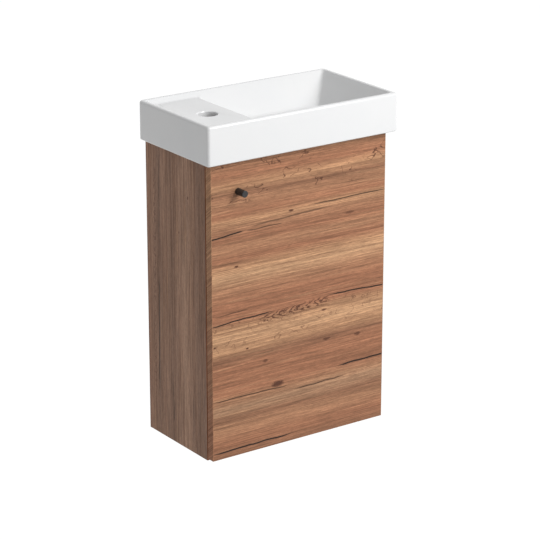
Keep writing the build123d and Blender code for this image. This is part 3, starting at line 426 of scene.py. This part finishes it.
def front_band():
    """The orange-brown strip on the front edges of the side panels."""
    bands = [(-0.4, EDGE_ORANGE), (0.0, OAK_RED), (0.4, EDGE_ORANGE)]
    return Board("oak_front_band", "z", "xy", 2.3, bands).finish()


def ceramic():
    """White glazed ceramic with a faintly uneven glaze."""
    shader = Shader("white_glaze")
    vector = shader.vector(*shader.place())
    cloud = shader.noise(vector, 9.0, 3.0)
    shader.set(Base_Color=shader.ramp(cloud, [(0.3, GLAZE_SHADE), (0.7, GLAZE_WHITE)]))
    shader.set(Roughness=shader.spread(shader.noise(vector, 45.0, 4.0), 0.3, 0.7, 0.10, 0.16))
    shader.set(Coat_Weight=0.3, Coat_Roughness=0.05)
    shader.bump(shader.noise(vector, 28.0, 2.0), 0.00006, 0.35)
    return shader.material


def metal(name, colour, roughness, brushed):
    """Plated metal with fine brush or tumbling marks."""
    shader = Shader(name)
    x, y, z = shader.place()
    lines = shader.noise(shader.vector(x, y, shader.math("MULTIPLY", z, brushed)), 900.0, 3.0)
    clouds = shader.noise(shader.vector(x, y, z), 70.0, 3.0)
    darker = tuple(value * PLATE_CLOUD for value in colour[:3]) + (1,)
    shader.set(Base_Color=shader.ramp(clouds, [(0.3, darker), (0.7, colour)]), Metallic=1.0)
    shader.set(Roughness=shader.spread(lines, 0.3, 0.7, roughness - 0.06, roughness + 0.08))
    shader.bump(lines, 0.00003, 0.4)
    return shader.material


def coated(name, colour, lighter, roughness, grain):
    """Painted or moulded surface with a fine grain."""
    shader = Shader(name)
    vector = shader.vector(*shader.place())
    grains = shader.noise(vector, grain, 4.0)
    clouds = shader.noise(vector, 60.0, 3.0)
    shader.set(Base_Color=shader.ramp(clouds, [(0.3, colour), (0.7, lighter)]))
    shader.set(Roughness=shader.spread(grains, 0.3, 0.7, roughness - 0.05, roughness + 0.06))
    shader.bump(grains, 0.00003, 0.5)
    return shader.material


def clear_rubber():
    """Soft clear dots."""
    shader = Shader("clear_dots")
    vector = shader.vector(*shader.place())
    clouds = shader.noise(vector, 120.0, 3.0)
    shader.set(Base_Color=shader.ramp(clouds, [(0.3, RUBBER_SHADE), (0.7, RUBBER_PALE)]))
    shader.set(Transmission_Weight=0.6, IOR=1.45)
    shader.set(Roughness=shader.spread(clouds, 0.3, 0.7, 0.18, 0.30))
    return shader.material


def materials():
    """Every node's material by its name."""
    steel = metal("nickel_plate", srgb(205, 203, 198), 0.24, 0.2)
    zinc = metal("zinc_plate", srgb(190, 193, 197), 0.36, 1.0)
    black = coated("black_coat", srgb(27, 26, 27), srgb(36, 35, 36), 0.46, 2400.0)
    plastic = coated("grey_moulding", srgb(196, 197, 196), srgb(206, 207, 206), 0.42, 1600.0)
    beech = coated("beech_pin", srgb(205, 170, 126), srgb(220, 188, 146), 0.6, 900.0)
    rubber = clear_rubber()
    glaze = ceramic()
    sides = side_oak()
    level = plain_oak("oak_level", "x", "yz", 11.9)
    by_material = {
        glaze: ["basin"],
        rubber: ["basin_pads", "door_bumpers"],
        sides: ["left_side_panel", "right_side_panel"],
        level: ["bottom_panel", "front_top_rail", "rear_top_rail", "rear_lower_rail", "shelf",
                "shelf_edge_band", "cross_edge_bands"],
        front_band(): ["side_edge_bands"],
        door_oak(): ["door_panel"],
        plain_oak("oak_door_edge", "y", "z", 6.4, 0.8): ["door_edge_bands"],
        beech: ["board_dowels"],
        black: ["knob"],
        plastic: ["left_hanger_housing", "right_hanger_housing"],
        steel: ["upper_hinge_arm", "lower_hinge_arm", "upper_hinge_mounting_plate",
                "lower_hinge_mounting_plate", "upper_hinge_outer_link", "lower_hinge_outer_link",
                "upper_hinge_inner_link", "lower_hinge_inner_link", "upper_hinge_cup",
                "lower_hinge_cup", "hinge_cup_pins", "hinge_arm_pins"],
        zinc: ["left_wall_plate", "right_wall_plate", "left_hanger_hook", "right_hanger_hook",
               "hanger_screws", "mounting_plate_screws", "hinge_arm_screws", "hinge_cup_screws",
               "knob_screw", "shelf_pins", "cam_locks", "cam_bolts"],
    }
    return {node: material for material, nodes in by_material.items() for node in nodes}


def smoothing():
    """A modifier group that shades faces smooth up to SHARP_DEGREES."""
    group = bpy.data.node_groups.new("smooth_by_angle", "GeometryNodeTree")
    group.interface.new_socket("Geometry", in_out="INPUT", socket_type="NodeSocketGeometry")
    group.interface.new_socket("Geometry", in_out="OUTPUT", socket_type="NodeSocketGeometry")
    start = group.nodes.new("NodeGroupInput")
    end = group.nodes.new("NodeGroupOutput")
    faces = group.nodes.new("GeometryNodeSetShadeSmooth")
    edges = group.nodes.new("GeometryNodeSetShadeSmooth")
    edges.domain = "EDGE"
    angle = group.nodes.new("GeometryNodeInputMeshEdgeAngle")
    soft = group.nodes.new("FunctionNodeCompare")
    soft.data_type = "FLOAT"
    soft.operation = "LESS_EQUAL"
    soft.inputs[1].default_value = math.radians(SHARP_DEGREES)
    link = group.links.new
    link(start.outputs[0], faces.inputs["Geometry"])
    link(faces.outputs[0], edges.inputs["Geometry"])
    link(angle.outputs["Unsigned Angle"], soft.inputs[0])
    link(soft.outputs[0], edges.inputs["Shade Smooth"])
    link(edges.outputs[0], end.inputs[0])
    return group


def dress(nodes):
    """Gives every CAD node its material and smooth shading."""
    by_node = materials()
    group = smoothing()
    for name, node in nodes.items():
        if not node.material_slots:
            node.data.materials.append(None)
        for slot in node.material_slots:
            slot.material = by_node[name]
        weld = node.modifiers.new("weld", "WELD")
        weld.merge_threshold = WELD_DISTANCE
        smooth = node.modifiers.new("smooth", "NODES")
        smooth.node_group = group


def make_camera():
    """The photo's point of view."""
    turn = math.radians(CAMERA_TURN)
    drop = math.radians(CAMERA_DROP)
    ahead = Vector((math.sin(turn) * math.cos(drop), math.cos(turn) * math.cos(drop), -math.sin(drop)))
    data = bpy.data.cameras.new("camera")
    data.lens = CAMERA_LENS
    data.sensor_width = CAMERA_SENSOR
    data.clip_end = CAMERA_REACH
    camera = bpy.data.objects.new("camera", data)
    turned = ahead.to_track_quat("-Z", "Y").to_matrix().to_4x4()
    camera.matrix_world = Matrix.Translation(CAMERA_PLACE) @ turned
    bpy.context.scene.collection.objects.link(camera)
    bpy.context.scene.camera = camera


def area_light(name, toward, centre, distance, size, level):
    """A soft lamp that lights a facing surface at centre with the given level, 1 being full."""
    data = bpy.data.lights.new(name, "AREA")
    data.shape = "DISK"
    data.size = size
    data.energy = level * 4 * math.pi * distance ** 2
    lamp = bpy.data.objects.new(name, data)
    direction = Vector(toward).normalized()
    turned = direction.to_track_quat("Z", "Y").to_matrix().to_4x4()
    lamp.matrix_world = Matrix.Translation(centre + direction * distance) @ turned
    bpy.context.scene.collection.objects.link(lamp)


def seen_directly(tree):
    """1 where the camera, a mirror image or a view through something clear looks, else 0."""
    rays = tree.nodes.new("ShaderNodeLightPath")
    total = rays.outputs["Is Camera Ray"]
    for name in ("Is Glossy Ray", "Is Transmission Ray"):
        both = tree.nodes.new("ShaderNodeMath")
        both.operation = "MAXIMUM"
        tree.links.new(total, both.inputs[0])
        tree.links.new(rays.outputs[name], both.inputs[1])
        total = both.outputs[0]
    return total


def make_world():
    """Soft pale light from all round, and a white background where it is seen directly."""
    world = bpy.data.worlds.new("studio")
    bpy.context.scene.world = world
    world.use_nodes = True
    tree = world.node_tree
    tree.nodes.clear()
    light = tree.nodes.new("ShaderNodeBackground")
    light.inputs["Strength"].default_value = FILL_LEVEL
    seen = tree.nodes.new("ShaderNodeBackground")
    seen.inputs["Strength"].default_value = BACKGROUND_LEVEL
    for node in (light, seen):
        node.inputs["Color"].default_value = (1, 1, 1, 1)
    choice = tree.nodes.new("ShaderNodeMixShader")
    output = tree.nodes.new("ShaderNodeOutputWorld")
    tree.links.new(seen_directly(tree), choice.inputs[0])
    tree.links.new(light.outputs[0], choice.inputs[1])
    tree.links.new(seen.outputs[0], choice.inputs[2])
    tree.links.new(choice.outputs[0], output.inputs[0])


def make_floor(height):
    """A plain pale floor. Seen directly it is nearly as white as the background."""
    half = FLOOR_HALF
    mesh = bpy.data.meshes.new("floor")
    corners = [(-half, -half, height), (half, -half, height), (half, half, height), (-half, half, height)]
    mesh.from_pydata(corners, [], [(0, 1, 2, 3)])
    floor = bpy.data.objects.new("floor", mesh)
    bpy.context.scene.collection.objects.link(floor)
    shader = Shader("pale_floor")
    shader.set(Base_Color=FLOOR_PALE, Roughness=FLOOR_ROUGHNESS)
    white = shader.add("ShaderNodeEmission")
    white.inputs["Strength"].default_value = FLOOR_WHITE
    share = shader.math("MULTIPLY", seen_directly(shader.tree), FLOOR_WHITE_SHARE)
    choice = shader.add("ShaderNodeMixShader")
    shader.feed(choice.inputs[0], share)
    shader.feed(choice.inputs[1], shader.surface.outputs[0])
    shader.feed(choice.inputs[2], white.outputs[0])
    shader.feed(shader.tree.nodes["Material Output"].inputs["Surface"], choice.outputs[0])
    mesh.materials.append(shader.material)


def main():
    """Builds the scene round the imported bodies."""
    bpy.context.scene.view_settings.view_transform = "Standard"
    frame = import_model()
    low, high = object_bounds()
    dress(frame["nodes"])
    centre = (Vector(low) + Vector(high)) / 2
    make_camera()
    make_world()
    make_floor(low[2] - FLOOR_BELOW)
    area_light("key", KEY_FROM, centre, KEY_DISTANCE, KEY_SIZE, KEY_LEVEL)


main()
